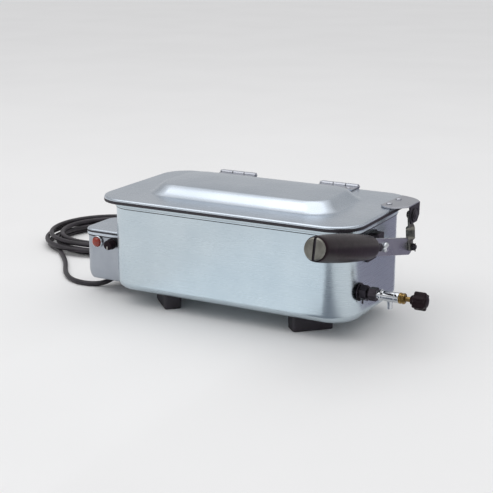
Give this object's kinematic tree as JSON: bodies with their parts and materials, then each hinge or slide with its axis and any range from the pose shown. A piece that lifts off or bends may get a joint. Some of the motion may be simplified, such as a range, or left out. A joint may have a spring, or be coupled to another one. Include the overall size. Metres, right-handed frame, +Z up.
{
  "type": "paraffin wax bath",
  "caption": "Electric stainless-steel wax bath on rubber feet, with a hinged lid lifted by a side lever, a drain cock, a control box and a coiled mains lead.",
  "frame": {"origin": "on the standing surface, under the middle of the bath with its fittings, without the mains lead", "axes": "+X towards the drain cock end, -Y towards the user, +Z up"},
  "size_m": [0.6634, 0.4667, 0.1544],
  "materials": {
    "stainless_satin": "drawn stainless steel with a fine satin polish",
    "stainless_polished": "pressed stainless steel, buffed",
    "plated_steel": "zinc-plated steel",
    "darkened_steel": "oil-blackened steel",
    "chrome_plate": "chrome on brass",
    "brass": "bare brass",
    "bakelite": "moulded phenolic, dark brown-black",
    "rubber": "black rubber",
    "red_lens": "moulded red lens",
    "glass_wool": "glass wool",
    "steatite": "pressed steatite"
  },
  "bodies": {
    "bath": {"outer_casing": "stainless_satin", "inner_tank": "stainless_satin", "control_box": "stainless_satin", "control_box_cover": "stainless_polished", "heater_clamp_left": "plated_steel", "heater_clamp_right": "plated_steel", "foot_screw_front_left": "plated_steel", "foot_screw_front_right": "plated_steel", "foot_screw_rear_left": "plated_steel", "foot_screw_rear_right": "plated_steel", "hinge_bracket_left": "plated_steel", "hinge_bracket_right": "plated_steel", "hinge_pin_left": "plated_steel", "hinge_pin_right": "plated_steel", "pivot_bolt": "plated_steel", "heating_element": "darkened_steel", "lever_bracket": "darkened_steel", "pilot_lamp_bezel": "chrome_plate", "drain_cock_body": "chrome_plate", "drain_lock_nut": "brass", "drain_gland_nut": "brass", "plug_pin_1": "brass", "plug_pin_2": "brass", "plug_pin_3": "brass", "plug_body": "bakelite", "foot_front_left": "rubber", "foot_front_right": "rubber", "foot_rear_left": "rubber", "foot_rear_right": "rubber", "cable_gland": "rubber", "mains_cord": "rubber", "cord_tail": "rubber", "cord_coil": "rubber", "pilot_lamp_lens": "red_lens", "insulation_wrap": "glass_wool", "base_insulation": "glass_wool", "thermostat_body": "steatite", "terminal_block": "steatite"},
    "lid": {"lid_panel": "stainless_polished", "hinge_leaf_left": "plated_steel", "hinge_leaf_right": "plated_steel", "lid_ear": "plated_steel", "ear_rivet_1": "plated_steel", "ear_rivet_2": "plated_steel"},
    "lever": {"lever_bar": "plated_steel", "grip": "bakelite", "grip_end_screw": "plated_steel", "grip_lock_stud": "darkened_steel", "link_bolt": "darkened_steel"},
    "link": {"lift_link": "darkened_steel", "link_pin": "darkened_steel"},
    "drain_handle": {"drain_spindle": "brass", "drain_knob": "bakelite"},
    "heat_knob": {"thermostat_knob": "bakelite"},
    "rack": {"perforated_rack": "stainless_satin", "rack_handle_left": "plated_steel", "rack_handle_right": "plated_steel"}
  },
  "joints": [
    {"name": "lever_pivot", "type": "hinge", "parent": "bath", "child": "lever", "pos_m": [0.164, 0.02653, 0.103], "axis": [1, 0, 0], "range_deg": [0, 32]},
    {"name": "lid_hinge", "type": "hinge", "parent": "bath", "child": "lid", "pos_m": [-0.0117, 0.15103, 0.1382], "axis": [-1, 0, 0], "range_deg": [0, 46.1]},
    {"name": "link_pivot", "type": "hinge", "parent": "lever", "child": "link", "pos_m": [0.1676, 0.10253, 0.0858], "axis": [-1, 0, 0], "range_deg": [0, 46.3]},
    {"name": "drain_spindle_turn", "type": "hinge", "parent": "bath", "child": "drain_handle", "pos_m": [0.2103, -0.00007, 0.0558], "axis": [1, 0, 0], "range_deg": [0, 360]},
    {"name": "heat_knob_turn", "type": "hinge", "parent": "bath", "child": "heat_knob", "pos_m": [-0.1849, -0.00247, 0.0672], "axis": [0, 1, 0], "range_deg": [0, 270]},
    {"name": "rack_lift", "type": "slide", "parent": "bath", "child": "rack", "axis": [0, 0, 1], "range_m": [0, 0.05]}
  ],
  "couplings": [
    {"joint": "lid_hinge", "follows": "lever_pivot", "ratio": 1.44},
    {"joint": "link_pivot", "follows": "lever_pivot", "ratio": 1.446}
  ]
}
